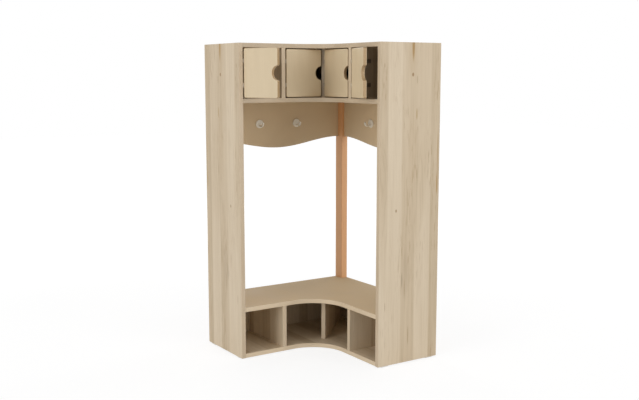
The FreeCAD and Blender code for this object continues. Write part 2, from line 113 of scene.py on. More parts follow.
# Colours of the decor, its marks and the door veneer
DECOR_TONES = ((0.0, (0.472, 0.362, 0.228)), (0.5, (0.602, 0.482, 0.332)), (1.0, (0.695, 0.577, 0.422)))
VENEER_TONES = ((0.25, (0.630, 0.502, 0.324)), (0.75, (0.715, 0.582, 0.390)))
PLY_TONES = ((0.2, (0.320, 0.198, 0.094)), (0.8, (0.460, 0.318, 0.168)))
BACK_PLY = (0.560, 0.420, 0.250)
CHIP_TONES = ((0.10, (0.330, 0.220, 0.120)), (0.45, (0.520, 0.390, 0.240)), (0.85, (0.640, 0.510, 0.345)))
KNOT_BROWN = (0.310, 0.185, 0.080)
RESIN_ORANGE = (0.380, 0.215, 0.055)
WEATHER_GREY = (0.300, 0.220, 0.140)
FLECK_BROWN = (0.395, 0.268, 0.140)
PORE_BROWN = (0.360, 0.275, 0.175)
VENEER_FLECK = (0.450, 0.320, 0.180)
# Pale tint of the sharp edges of the decor: edge wear and a painted highlight
ARRIS_WEAR_AND_HIGHLIGHT = (0.74, 0.65, 0.51)


# Shader building

def add(tree, kind, inputs=None, **settings):
    """Put a node into a tree; an input is a plain value or another node's output."""
    made = tree.nodes.new(kind)
    for name, value in settings.items():
        setattr(made, name, value)
    for name, value in (inputs or {}).items():
        socket = made.inputs[name]
        if isinstance(value, bpy.types.NodeSocket):
            tree.links.new(value, socket)
        else:
            socket.default_value = value
    return made


def calc(tree, operation, first, second=0.0, third=0.0):
    """Result of one sum."""
    return add(tree, "ShaderNodeMath", {0: first, 1: second, 2: third}, operation=operation).outputs[0]


def weighed(tree, first, first_share, second, second_share):
    """Two values added up, each by its share."""
    return calc(tree, "MULTIPLY_ADD", first, first_share, calc(tree, "MULTIPLY", second, second_share))


def vectors(tree, operation, first, second=(0, 0, 0)):
    """Vector that one sum of vectors gives."""
    return add(tree, "ShaderNodeVectorMath", {0: first, 1: second}, operation=operation).outputs["Vector"]


def measure(tree, operation, first, second=(0, 0, 0)):
    """Number that one sum of vectors gives."""
    return add(tree, "ShaderNodeVectorMath", {0: first, 1: second}, operation=operation).outputs["Value"]


def noise(tree, spot, stretch, detail=3.0, seed=0.0, distortion=0.0):
    """Noise from 0 to 1, with its own number of cells to the metre along each axis."""
    inputs = {
        "Vector": vectors(tree, "MULTIPLY", spot, stretch), "W": seed, "Scale": 1.0,
        "Detail": detail, "Distortion": distortion,
    }
    return add(tree, "ShaderNodeTexNoise", inputs, noise_dimensions="4D").outputs[0]


def span(tree, value, low, high, start=0.0, end=1.0):
    """Value spread from one range to another, smoothly and without going past its ends."""
    inputs = {"Value": value, "From Min": low, "From Max": high, "To Min": start, "To Max": end}
    return add(tree, "ShaderNodeMapRange", inputs, interpolation_type="SMOOTHSTEP").outputs[0]


def ramp(tree, factor, stops, interpolation="LINEAR"):
    """Colour ramp through stops of place and colour, or of place and grey level."""
    made = add(tree, "ShaderNodeValToRGB", {0: factor})
    band = made.color_ramp
    band.interpolation = interpolation
    while len(band.elements) < len(stops):
        band.elements.new(1.0)
    for element, (place, colour) in zip(band.elements, stops):
        element.position = place
        element.color = (*colour, 1.0) if isinstance(colour, tuple) else (colour, colour, colour, 1.0)
    return made.outputs[0]


def paler(stops, share):
    """Ramp stops with each colour multiplied by a share."""
    return [(place, tuple(share * part for part in colour)) for place, colour in stops]


def tinted(tree, factor, first, second):
    """Two colours mixed by a factor."""
    made = add(tree, "ShaderNodeMix", data_type="RGBA", clamp_factor=True)
    for index, value in ((0, factor), (6, first), (7, second)):
        if isinstance(value, bpy.types.NodeSocket):
            tree.links.new(value, made.inputs[index])
        else:
            made.inputs[index].default_value = (*value, 1.0) if isinstance(value, tuple) else value
    return made.outputs[2]


def surface(name):
    """New material: its node tree and its shader."""
    material = bpy.data.materials.new(name)
    material.use_nodes = True
    tree = material.node_tree
    tree.nodes.clear()
    shader = add(tree, "ShaderNodeBsdfPrincipled")
    add(tree, "ShaderNodeOutputMaterial", {"Surface": shader.outputs[0]})
    return material, tree, shader


def on_piece(tree, turn=(0, 0, 0), shift=(0, 0, 0)):
    """Coordinates of the piece itself, turned in degrees and shifted."""
    place = add(tree, "ShaderNodeTexCoord").outputs["Object"]
    inputs = {"Vector": place, "Location": shift, "Rotation": [math.radians(angle) for angle in turn]}
    return add(tree, "ShaderNodeMapping", inputs).outputs[0]


def split(tree, spot):
    """The three parts of a coordinate."""
    return add(tree, "ShaderNodeSeparateXYZ", {0: spot}).outputs[:]


def edge_wear_and_highlight(tree, colour, radius, share, wear_and_highlight):
    """Colour that turns to a paler tint along the sharp edges of a piece: edge wear and a painted
    highlight.
    """
    rounded = add(tree, "ShaderNodeBevel", {"Radius": radius}, samples=4).outputs[0]
    normal = add(tree, "ShaderNodeNewGeometry").outputs["Normal"]
    sharp = span(tree, measure(tree, "DOT_PRODUCT", rounded, normal), 0.995, 0.85)
    return tinted(tree, calc(tree, "MULTIPLY", sharp, share), colour, wear_and_highlight)


def dress(tree, shader, colour, roughness, height, depth):
    """Give a shader its colour, its roughness and the relief of its surface."""
    bump = add(tree, "ShaderNodeBump", {"Height": height, "Strength": 1.0, "Distance": depth})
    tree.links.new(colour, shader.inputs["Base Color"])
    tree.links.new(roughness, shader.inputs["Roughness"])
    tree.links.new(bump.outputs[0], shader.inputs["Normal"])


# Planked laminate

def face_mask(tree, face, start=0.55, end=0.80):
    """1 on a board's two faces and 0 round its edges, by the normal of its face."""
    normal = add(tree, "ShaderNodeTexCoord").outputs["Normal"]
    facing = calc(tree, "ABSOLUTE", measure(tree, "DOT_PRODUCT", normal, face))
    return span(tree, facing, start, end)


def mark_mask(tree, spot, place, reach):
    """1 in the middle of an oval mark in the decor and 0 outside it."""
    away = vectors(tree, "SUBTRACT", spot, (place[0], 0, place[1]))
    oval = vectors(tree, "MULTIPLY", away, (1 / reach[0], 0, 1 / reach[1]))
    return span(tree, measure(tree, "LENGTH", oval), 1.0, 0.45)


def stave_stops(height):
    """Ramp stops of the stave tones, low down or high up, with soft borders."""
    stops, begin = [], 0.0
    for end, low, high in STAVES:
        back, front = high if height == "high" else low
        stops.append(((begin + STAVE_BORDER) / DECOR_SHEET, back))
        stops.append(((end - STAVE_BORDER) / DECOR_SHEET, front))
        begin = end
    return stops


def stave_tones(tree, across, along):
    """Tone of the stave at each place, and a seed that differs from stave to stave."""
    sheet = calc(tree, "FRACT", calc(tree, "DIVIDE", across, DECOR_SHEET))
    low = ramp(tree, sheet, stave_stops("low"))
    high = ramp(tree, sheet, stave_stops("high"))
    tone = tinted(tree, span(tree, along, 0.30, 0.90), low, high)
    begins = [0.0] + [end / DECOR_SHEET for end, _, _ in STAVES[:-1]]
    numbers = [(begin, 0.1 + 0.2 * index) for index, begin in enumerate(begins)]
    seed = calc(tree, "MULTIPLY", ramp(tree, sheet, numbers, "CONSTANT"), 40.0)
    return tone, seed


def wood_print(tree, spot, across, stave, seed):
    """Tone of the printed wood: broad figure, streaks, fibres and growth lines; and the fibres."""
    figure = noise(tree, spot, (14, 14, 1.6), detail=4.0, seed=seed, distortion=0.7)
    streak = noise(tree, spot, (85, 85, 2.6), detail=4.0, seed=seed, distortion=0.4)
    fibre = noise(tree, spot, (430, 430, 8), detail=4.0, seed=seed)
    bend = noise(tree, spot, (9, 9, 1.0), detail=3.0, seed=seed, distortion=0.6)
    turns = weighed(tree, across, math.tau / GROWTH_LINE, bend, 90.0)
    line = span(tree, calc(tree, "SINE", turns), 0.30, 1.0)
    lines = calc(tree, "MULTIPLY", line, span(tree, figure, 0.62, 0.40))
    tone = stave
    for part, share in ((figure, 0.50), (streak, 0.62), (fibre, 0.40), (lines, -0.16)):
        tone = calc(tree, "MULTIPLY_ADD", part, share, tone)
    return calc(tree, "SUBTRACT", tone, 0.70), fibre


def marked(tree, colour, spot, stave, fibre, flecked, marks):
    """Colour with brown flecks in patches, fewer on the pale staves, and with knots and streaks."""
    patch = span(tree, noise(tree, spot, (12, 12, 2.6), detail=2.0, seed=17.0), 0.46, 0.62)
    fleck = span(tree, noise(tree, spot, (190, 190, 18), detail=3.0, seed=23.0), 0.52, 0.66)
    flecks = calc(tree, "MULTIPLY", calc(tree, "MULTIPLY", patch, fleck), flecked)
    flecks = calc(tree, "MULTIPLY", flecks, span(tree, stave, 0.85, 0.60, 0.35, 1.0))
    colour = tinted(tree, flecks, colour, FLECK_BROWN)
    broken = span(tree, fibre, 0.1, 0.5, 0.5, 1.0)
    for place, reach, strength, tint in marks:
        mask = mark_mask(tree, spot, place, reach)
        amount = calc(tree, "MULTIPLY", mask, calc(tree, "MULTIPLY", broken, strength))
        colour = tinted(tree, amount, colour, tint)
    return colour


def chipboard_core(tree, spot):
    """Pressed chips of the board's core, as they show on an edge with no band."""
    inputs = {"Vector": spot, "Scale": 380.0, "Randomness": 1.0}
    chips = add(tree, "ShaderNodeTexVoronoi", inputs).outputs["Color"]
    return ramp(tree, chips, CHIP_TONES), noise(tree, spot, (700, 700, 700), detail=3.0, seed=11.0)


def planked_laminate(name, lie, pale, flecked=BOARD_FLECKS, marks=()):
    """Laminate printed with pale staves: X runs across the staves and Z along the grain."""
    material, tree, shader = surface(name)
    face, turn, shift = lie
    spot = on_piece(tree, turn, shift)
    across, _, along = split(tree, spot)
    stave, seed = stave_tones(tree, across, along)
    tone, fibre = wood_print(tree, spot, across, stave, seed)
    colour = ramp(tree, tone, paler(DECOR_TONES, pale))
    colour = marked(tree, colour, spot, stave, fibre, flecked, marks)
    pore = span(tree, noise(tree, spot, (1300, 1300, 45), detail=2.0), 0.60, 0.75, 0.0, 0.20)
    colour = tinted(tree, pore, colour, PORE_BROWN)
    colour = edge_wear_and_highlight(tree, colour, radius=0.0012, share=0.25, wear_and_highlight=ARRIS_WEAR_AND_HIGHLIGHT)
    core, crumbs = chipboard_core(tree, spot)
    on_face = face_mask(tree, face)
    colour = tinted(tree, on_face, core, colour)
    roughness = span(tree, calc(tree, "MULTIPLY", fibre, on_face), 0.0, 0.8, 0.72, 0.44)
    relief = calc(tree, "SUBTRACT", fibre, pore)
    height = tinted(tree, on_face, calc(tree, "MULTIPLY", crumbs, 3.0), relief)
    dress(tree, shader, colour, roughness, height, depth=0.00008)
    return material


# Other finishes of the coat unit

def plain_board(name, dark, pale):
    """Smooth lacquered board: a plain beige with faint clouds and a fine speckle."""
    material, tree, shader = surface(name)
    spot = on_piece(tree)
    cloud = noise(tree, spot, (9, 9, 9), detail=3.0)
    speck = noise(tree, spot, (900, 900, 900), detail=2.0)
    colour = ramp(tree, weighed(tree, speck, 0.45, cloud, 0.7), ((0.25, dark), (0.85, pale)))
    colour = edge_wear_and_highlight(tree, colour, radius=0.0015, share=0.3, wear_and_highlight=(0.72, 0.62, 0.46))
    roughness = span(tree, cloud, 0.25, 0.75, 0.58, 0.70)
    shader.inputs["Specular IOR Level"].default_value = 0.25
    dress(tree, shader, colour, roughness, speck, depth=0.00005)
    return material


def edge_banding(name, stretch, dark, pale):
    """Wood-toned edge band whose fine lines run along the band."""
    material, tree, shader = surface(name)
    spot = on_piece(tree)
    line = noise(tree, spot, stretch, detail=3.0)
    drift = noise(tree, spot, (6, 6, 6), detail=2.0, seed=4.0)
    colour = ramp(tree, weighed(tree, drift, 0.5, line, 0.6), ((0.25, dark), (0.85, pale)))
    colour = edge_wear_and_highlight(tree, colour, radius=0.001, share=0.2, wear_and_highlight=(0.74, 0.66, 0.53))
    roughness = span(tree, line, 0.2, 0.8, 0.40, 0.55)
    dress(tree, shader, colour, roughness, line, depth=0.00006)
    return material


def door_frame(door, swing):
    """Hinge axis of a door, and the turn in degrees from the door, swung open, to its own frame."""
    if door.wing == "left":
        return Vector((door.face + HINGE_GAP / 2, FRONT, 0)), swing
    return Vector((FRONT, door.face - HINGE_GAP / 2, 0)), swing + 90


def door_plywood(name, door):
    """Birch plywood: pale veneer on both faces and the lines of the plies round the edge."""
    material, tree, shader = surface(name)
    axis, turn = door_frame(door, door.ajar)
    to_door = Matrix.Rotation(math.radians(turn), 3, "Z")
    spot = on_piece(tree, (0, 0, turn), -(to_door @ axis))
    on_face = face_mask(tree, to_door.inverted() @ Vector((0, 1, 0)), 0.70, 0.92)
    on_edge = calc(tree, "SUBTRACT", 1.0, on_face)
    figure = noise(tree, spot, (22, 22, 2.6), detail=4.0, seed=2.0, distortion=0.8)
    fibre = noise(tree, spot, (520, 520, 11), detail=3.0, seed=5.0)
    fleck = noise(tree, spot, (700, 700, 150), detail=2.0, seed=9.0)
    # The door's paleness is painted light and shade on its veneer
    veneer = ramp(tree, weighed(tree, figure, 0.6, fibre, 0.4), paler(VENEER_TONES, door.pale))
    veneer = tinted(tree, span(tree, fleck, 0.62, 0.72, 0.0, 0.12), veneer, VENEER_FLECK)
    _, through, _ = split(tree, spot)
    layer = calc(tree, "MULTIPLY", through, DOOR_PLIES / DOOR_THICKNESS * math.pi)
    ply = calc(tree, "MULTIPLY_ADD", calc(tree, "SINE", layer), 0.5, 0.5)
    ragged = noise(tree, spot, (260, 60, 260), detail=3.0, seed=3.0)
    plies = ramp(tree, weighed(tree, ragged, 0.6, ply, 0.7), PLY_TONES)
    plies = tinted(tree, span(tree, through, *BACK_PLY_DEPTH), plies, BACK_PLY)
    colour = tinted(tree, on_face, plies, veneer)
    roughness = span(tree, fibre, 0.2, 0.8, 0.36, 0.50)
    height = calc(tree, "MULTIPLY_ADD", calc(tree, "MULTIPLY", ply, on_edge), 0.8, fibre)
    dress(tree, shader, colour, roughness, height, depth=0.00008)
    return material


def solid_wood(name, stretch, dark, pale):
    """Clear-lacquered solid wood with straight grain."""
    material, tree, shader = surface(name)
    spot = on_piece(tree)
    broad = tuple(0.12 * value for value in stretch)
    figure = noise(tree, spot, broad, detail=4.0, seed=1.0, distortion=0.5)
    fibre = noise(tree, spot, stretch, detail=4.0, seed=6.0)
    colour = ramp(tree, weighed(tree, figure, 0.65, fibre, 0.45), ((0.25, dark), (0.85, pale)))
    colour = edge_wear_and_highlight(tree, colour, radius=0.0015, share=0.25, wear_and_highlight=pale)
    roughness = span(tree, fibre, 0.2, 0.8, 0.38, 0.55)
    dress(tree, shader, colour, roughness, fibre, depth=0.0001)
    return material


def satin_metal(name, dark, pale, rough, stretch, metallic=1.0):
    """Metal with a fine satin finish and faint clouds."""
    material, tree, shader = surface(name)
    shader.inputs["Metallic"].default_value = metallic
    spot = on_piece(tree)
    brush = noise(tree, spot, stretch, detail=3.0)
    cloud = noise(tree, spot, (60, 60, 60), detail=2.0, seed=3.0)
    colour = ramp(tree, weighed(tree, brush, 0.4, cloud, 0.6), ((0.25, dark), (0.75, pale)))
    colour = edge_wear_and_highlight(tree, colour, radius=0.0004, share=0.3, wear_and_highlight=(0.85, 0.84, 0.82))
    roughness = span(tree, brush, 0.2, 0.8, rough, rough + 0.14)
    dress(tree, shader, colour, roughness, brush, depth=0.00001)
    return material


def moulded_plastic(name, dark, pale):
    """Moulded plastic with a fine grain."""
    material, tree, shader = surface(name)
    spot = on_piece(tree)
    grain = noise(tree, spot, (1500, 1500, 1500), detail=2.0)
    cloud = noise(tree, spot, (80, 80, 80), detail=2.0, seed=2.0)
    colour = ramp(tree, weighed(tree, grain, 0.3, cloud, 0.7), ((0.25, dark), (0.75, pale)))
    roughness = span(tree, grain, 0.2, 0.8, 0.42, 0.55)
    dress(tree, shader, colour, roughness, grain, depth=0.00003)
    return material


# Streaks, knots, flecks and a weathered patch of the side panels: distance from the back edge and
# height, reach each way, strength and tint
PANEL_MARKS = (
    ((0.142, 1.300), (0.0085, 0.085), 0.85, RESIN_ORANGE),
    ((0.146, 1.250), (0.0240, 0.110), 0.13, RESIN_ORANGE),
    ((0.140, 0.880), (0.0300, 0.220), 0.07, RESIN_ORANGE),
    ((0.143, 1.178), (0.0065, 0.010), 0.95, KNOT_BROWN),
    ((0.221, 0.637), (0.0050, 0.009), 0.80, KNOT_BROWN),
    ((0.121, 1.022), (0.0045, 0.030), 0.55, RESIN_ORANGE),
    ((0.121, 1.158), (0.0040, 0.022), 0.35, KNOT_BROWN),
    ((0.118, 0.782), (0.0030, 0.030), 0.40, KNOT_BROWN),
    ((0.011, 0.735), (0.0040, 0.060), 0.80, RESIN_ORANGE),
    ((0.010, 0.860), (0.0030, 0.120), 0.50, RESIN_ORANGE),
    ((0.172, 0.370), (0.0260, 0.130), 0.15, WEATHER_GREY),
    ((0.188, 0.350), (0.0040, 0.040), 0.50, WEATHER_GREY),
    ((0.156, 0.432), (0.0030, 0.025), 0.40, KNOT_BROWN),
    ((0.174, 0.315), (0.0030, 0.050), 0.40, KNOT_BROWN),
    ((0.153, 0.115), (0.0035, 0.050), 0.50, KNOT_BROWN),
    ((0.273, 0.250), (0.0030, 0.025), 0.40, KNOT_BROWN),
    ((0.150, 0.620), (0.0030, 0.045), 0.30, KNOT_BROWN),
    ((0.280, 1.130), (0.0200, 0.150), 0.10, KNOT_BROWN),
    ((0.284, 1.213), (0.0040, 0.012), 0.35, KNOT_BROWN),
    ((0.277, 1.163), (0.0030, 0.014), 0.35, KNOT_BROWN),
    ((0.288, 1.136), (0.0040, 0.016), 0.30, KNOT_BROWN),
    ((0.279, 1.092), (0.0030, 0.018), 0.30, KNOT_BROWN),
)

# How the decor lies on a board: the normal of its faces, its turn in degrees and its shift
FROM_WALL, FROM_POST, FROM_END = (WALL, 0, 0), (WALL, 0, 0.7), (0.500, 0, 0.2)
LEFT_LIE = ((1, 0, 0), (0, 0, 90), FROM_WALL)
RIGHT_LIE = ((0, 1, 0), (0, 0, 180), FROM_WALL)
CENTRE_LIE = ((math.sqrt(0.5), -math.sqrt(0.5), 0), (0, 0, 135), FROM_POST)
LEVEL_LIE = ((0, 0, 1), (90, 0, 0), FROM_WALL)
LEFT_BACK_LIE = ((0, 1, 0), (0, 0, 0), FROM_END)
RIGHT_BACK_LIE = ((1, 0, 0), (0, 0, 90), FROM_END)

# How pale the decor is on each kind of board, which is painted light and shade: one decor made
# paler or darker for the light that falls on each board, darkest on the upper dividers in the
# shade of the doors
LEFT_PANEL_PAINTED_LIGHT, RIGHT_PANEL_PAINTED_LIGHT, BOARD_PAINTED_LIGHT, BACK_PAINTED_LIGHT = 1.00, 1.04, 1.08, 1.06
DIVIDER_PAINTED_LIGHT = {"lower": 1.08, "upper": 0.92}

# Fine lines along the level bands and along the upright ones
LEVEL_LINES, UPRIGHT_LINES = (7, 7, 620), (620, 620, 7)

centre_divider_decor = planked_laminate("centre_divider_decor", CENTRE_LIE, BOARD_PAINTED_LIGHT)
level_decor = planked_laminate("level_board_decor", LEVEL_LIE, BOARD_PAINTED_LIGHT)
left_back_decor = planked_laminate("left_back_decor", LEFT_BACK_LIE, BACK_PAINTED_LIGHT)
right_back_decor = planked_laminate("right_back_decor", RIGHT_BACK_LIE, BACK_PAINTED_LIGHT)
# The seat and the hook boards are one plain board in two tones, set for the different light on them:
# painted light and shade
seat_finish = plain_board("plain_seat_board", dark=(0.561, 0.419, 0.247), pale=(0.628, 0.478, 0.288))
hook_board_finish = plain_board("plain_hook_board", dark=(0.622, 0.482, 0.311), pale=(0.692, 0.552, 0.363))
level_band = edge_banding(
    "level_edge_band", LEVEL_LINES, dark=(0.475, 0.370, 0.245), pale=(0.635, 0.510, 0.360))
# The seat and bottom band is a paler copy of the level band: painted light on the lower edges
seat_band = edge_banding(
    "seat_edge_band", LEVEL_LINES, dark=(0.636, 0.503, 0.340), pale=(0.806, 0.658, 0.467))
panel_band = edge_banding(
    "panel_edge_band", UPRIGHT_LINES, dark=(0.500, 0.390, 0.260), pale=(0.665, 0.535, 0.380))
divider_band = edge_banding(
    "divider_edge_band", UPRIGHT_LINES, dark=(0.530, 0.415, 0.275), pale=(0.705, 0.568, 0.402))
post_finish = solid_wood(
    "post_solid_wood", (180, 180, 5), dark=(0.680, 0.350, 0.150), pale=(0.840, 0.480, 0.240))
dowel_finish = solid_wood(
    "beech_dowel", (300, 300, 20), dark=(0.480, 0.320, 0.180), pale=(0.640, 0.470, 0.290))
hook_finish = satin_metal(
    "satin_hook_metal", dark=(0.740, 0.710, 0.630), pale=(0.860, 0.830, 0.750),
    rough=0.40, stretch=(400, 400, 400), metallic=0.25)
hinge_finish = satin_metal(
    "zinc_hinge_steel", dark=(0.340, 0.285, 0.215), pale=(0.460, 0.395, 0.310),
    rough=0.34, stretch=(90, 90, 1400))
fitting_finish = satin_metal(
    "zinc_fitting", dark=(0.460, 0.460, 0.455), pale=(0.600, 0.600, 0.595),
    rough=0.38, stretch=(500, 500, 500))
glide_finish = moulded_plastic("pale_glide_plastic", dark=(0.780, 0.765, 0.720), pale=(0.870, 0.855, 0.815))
stop_finish = moulded_plastic("brown_stop_plastic", dark=(0.235, 0.160, 0.095), pale=(0.330, 0.235, 0.145))

node_finishes = {
    "left_side_panel": planked_laminate(
        "left_panel_decor", LEFT_LIE, LEFT_PANEL_PAINTED_LIGHT, PANEL_FLECKS, PANEL_MARKS),
    "right_side_panel": planked_laminate(
        "right_panel_decor", RIGHT_LIE, RIGHT_PANEL_PAINTED_LIGHT, PANEL_FLECKS, PANEL_MARKS),
    "seat_board": seat_finish,
    "corner_post": post_finish,
    "side_panel_edges": panel_band,
    "divider_edges": divider_band,
    "foot_glides": glide_finish,
    "door_stops": stop_finish,
    "cam_bolts": fitting_finish,
    "cam_locks": fitting_finish,
    "hinge_frame_leaves": hinge_finish,
    "hinge_pins": hinge_finish,
    **{board + "_board": level_decor for board in ("bottom", "shelf", "top")},
    **{board + "_board_edge": seat_band for board in ("bottom", "seat")},
    **{board + "_board_edge": level_band for board in ("shelf", "top")},
    **{group + "_dowels": dowel_finish for group in ("board", "divider", "post", "hook_board")},
    **{name + "_hinge_leaves": hinge_finish for name in DOORS},
    **{name: door_plywood(name + "_plywood", door) for name, door in DOORS.items()},
}
# Each row of dividers takes its painted light and shade
for row, pale in DIVIDER_PAINTED_LIGHT.items():
    for wing, lie in (("left", LEFT_LIE), ("right", RIGHT_LIE)):
        name = row + "_" + wing + "_divider"
        node_finishes[name] = planked_laminate(name + "_decor", lie, pale)
    node_finishes[row + "_centre_divider"] = centre_divider_decor
    node_finishes[row + "_left_back"] = left_back_decor
    node_finishes[row + "_right_back"] = right_back_decor
for wing in ("left", "right"):
    for place in ("inner", "outer"):
        node_finishes[wing + "_" + place + "_coat_hook"] = hook_finish

for name, finish in node_finishes.items():
    mesh = nodes[name].data
    mesh.materials.clear()
    mesh.materials.append(finish)


# Building with Geometry Nodes

def node_tree(name, sizes):
    """New Geometry Nodes tree with named sizes and a material, and what its input node gives."""
    tree = bpy.data.node_groups.new(name, "GeometryNodeTree")
    tree.interface.new_socket("Geometry", in_out="INPUT", socket_type="NodeSocketGeometry")
    for size in sizes:
        tree.interface.new_socket(size, in_out="INPUT", socket_type="NodeSocketFloat")
    tree.interface.new_socket("Material", in_out="INPUT", socket_type="NodeSocketMaterial")
    tree.interface.new_socket("Geometry", in_out="OUTPUT", socket_type="NodeSocketGeometry")
    return tree, add(tree, "NodeGroupInput").outputs


def close_tree(tree, geometry, material):
    """End a tree: plain geometry in its material."""
    plain = add(tree, "GeometryNodeRealizeInstances", {0: geometry}).outputs[0]
    inputs = {"Geometry": plain, "Material": material}
    painted = add(tree, "GeometryNodeSetMaterial", inputs).outputs[0]
    add(tree, "NodeGroupOutput", {0: painted})


def vector(tree, x=0.0, y=0.0, z=0.0):
    """Vector from three values."""
    return add(tree, "ShaderNodeCombineXYZ", {0: x, 1: y, 2: z}).outputs[0]


def moved(tree, geometry, place, scale=(1, 1, 1)):
    """Geometry scaled and moved."""
    inputs = {"Geometry": geometry, "Translation": place, "Scale": scale}
    return add(tree, "GeometryNodeTransform", inputs).outputs[0]


def block(tree, x, y, z):
    """Block round the origin."""
    return add(tree, "GeometryNodeMeshCube", {"Size": vector(tree, x, y, z)}).outputs[0]


def rod(tree, vertices, radius, length):
    """Upright rod round the origin."""
    inputs = {"Vertices": vertices, "Radius": radius, "Depth": length}
    return add(tree, "GeometryNodeMeshCylinder", inputs).outputs[0]


def joined(tree, *geometries):
    """Several geometries as one."""
    made = add(tree, "GeometryNodeJoinGeometry")
    for geometry in reversed(geometries):
        tree.links.new(geometry, made.inputs[0])
    return made.outputs[0]


def cut(tree, body, tool):
    """Body with a tool cut away from it."""
    inputs = {"Mesh 1": body, "Mesh 2": tool}
    return add(tree, "GeometryNodeMeshBoolean", inputs, operation="DIFFERENCE", solver="EXACT").outputs[0]


def fused(tree, body, other):
    """Two bodies made into one."""
    made = add(tree, "GeometryNodeMeshBoolean", operation="UNION", solver="EXACT")
    tree.links.new(joined(tree, body, other), made.inputs["Mesh 2"])
    return made.outputs[0]


def screw_tree():
    """Round-head screws with a cross recess, one on each point, along the point's axis."""
    sizes = (
        "Head Diameter", "Head Height", "Shank Diameter", "Shank Length", "Recess Width", "Recess Depth",
    )
    tree, given = node_tree("cross_head_screws", sizes)
    radius = calc(tree, "DIVIDE", given["Head Diameter"], 2.0)
    height = given["Head Height"]

    # Head: the upper half of a flattened ball
    inputs = {"Segments": HEAD_SEGMENTS, "Rings": HEAD_RINGS, "Radius": 1.0}
    ball = add(tree, "GeometryNodeMeshUVSphere", inputs).outputs[0]
    dome = moved(tree, ball, (0, 0, 0), vector(tree, radius, radius, height))
    width = calc(tree, "MULTIPLY", given["Head Diameter"], 1.5)
    low = moved(tree, block(tree, width, width, width), vector(tree, z=calc(tree, "MULTIPLY", width, -0.5)))
    dome = cut(tree, dome, low)

    # Cross recess
    reach = calc(tree, "MULTIPLY", given["Head Diameter"], 0.56)
    depth = calc(tree, "MULTIPLY", given["Recess Depth"], 2.0)
    for x, y in ((reach, given["Recess Width"]), (given["Recess Width"], reach)):
        dome = cut(tree, dome, moved(tree, block(tree, x, y, depth), vector(tree, z=height)))

    # Shank
    length = given["Shank Length"]
    shank = rod(tree, SHANK_SIDES, calc(tree, "DIVIDE", given["Shank Diameter"], 2.0), length)
    sunk = weighed(tree, length, -0.5, height, 0.2)
    whole = fused(tree, dome, moved(tree, shank, vector(tree, z=sunk)))

    # One screw on each point
    named = add(tree, "GeometryNodeInputNamedAttribute", {"Name": "axis"}, data_type="FLOAT_VECTOR")
    turn = add(tree, "FunctionNodeAlignRotationToVector", {"Vector": named.outputs[0]}, axis="Z").outputs[0]
    inputs = {"Points": given["Geometry"], "Instance": whole, "Rotation": turn}
    placed = add(tree, "GeometryNodeInstanceOnPoints", inputs).outputs[0]
    close_tree(tree, placed, given["Material"])
    return tree


def wave_board_tree():
    """Board whose lower edge is one wave, with two sunk screw holes in its back."""
    sizes = (
        "Length", "Thickness", "Top", "Wave Mean", "Wave Height", "First Hook", "Second Hook",
        "Hook Level", "Hole Diameter", "Hole Depth",
    )
    tree, given = node_tree("wavy_hook_board", sizes)

    # Front face: a strip from the wave up to the top
    inputs = {"Size X": given["Length"], "Size Y": 1.0, "Vertices X": WAVE_POINTS, "Vertices Y": 2}
    grid = add(tree, "GeometryNodeMeshGrid", inputs).outputs[0]
    x, y, _ = split(tree, add(tree, "GeometryNodeInputPosition").outputs[0])
    share = calc(tree, "DIVIDE", x, given["Length"])
    turn = calc(tree, "MULTIPLY_ADD", share, math.tau, math.pi)
    swell = calc(tree, "COSINE", turn)
    wave = calc(tree, "MULTIPLY_ADD", swell, given["Wave Height"], given["Wave Mean"])
    rise = calc(tree, "MULTIPLY", calc(tree, "SUBTRACT", given["Top"], wave), calc(tree, "ADD", y, 0.5))
    place = vector(tree, x, 0.0, calc(tree, "ADD", wave, rise))
    face = add(tree, "GeometryNodeSetPosition", {"Geometry": grid, "Position": place}).outputs[0]

    # Thickness towards the wall
    back = add(tree, "GeometryNodeFlipFaces", {0: face}).outputs[0]
    thickness = vector(tree, y=given["Thickness"])
    inputs = {"Mesh": back, "Offset": thickness, "Offset Scale": 1.0, "Individual": False}
    walls = add(tree, "GeometryNodeExtrudeMesh", inputs, mode="FACES").outputs[0]
    inputs = {"Geometry": joined(tree, face, walls), "Distance": 1e-6}
    slab = add(tree, "GeometryNodeMergeByDistance", inputs).outputs[0]

    # Screw holes
    radius = calc(tree, "DIVIDE", given["Hole Diameter"], 2.0)
    drill = rod(tree, HOLE_SIDES, radius, calc(tree, "MULTIPLY", given["Hole Depth"], 2.0))
    inputs = {"Geometry": drill, "Rotation": (math.pi / 2, 0, 0)}
    drill = add(tree, "GeometryNodeTransform", inputs).outputs[0]
    for hook in ("First Hook", "Second Hook"):
        spot = vector(tree, given[hook], given["Thickness"], given["Hook Level"])
        slab = cut(tree, slab, moved(tree, drill, spot))
    close_tree(tree, slab, given["Material"])
    return tree


def grow(name, start, tree, values, finish):
    """Plain mesh object that a tree gives with these values, shaded smooth, at the origin."""
    source = bpy.data.objects.new(name + "_source", start)
    bpy.context.scene.collection.objects.link(source)
    modifier = source.modifiers.new("grow", "NODES")
    modifier.node_group = tree
    for item in tree.interface.items_tree:
        if item.in_out == "INPUT" and item.name in values:
            modifier[item.identifier] = values[item.name]
        elif item.in_out == "INPUT" and item.name == "Material":
            modifier[item.identifier] = finish
    seen = source.evaluated_get(bpy.context.evaluated_depsgraph_get())
    mesh = bpy.data.meshes.new_from_object(seen)
    bpy.data.objects.remove(source)
    mesh.name = name
    mesh.shade_smooth()
    mesh.set_sharp_from_angle(angle=math.radians(SMOOTH_ANGLE))
    piece = bpy.data.objects.new(name, mesh)
    bpy.context.scene.collection.objects.link(piece)
    return piece


# Screws of the hinges and the hooks

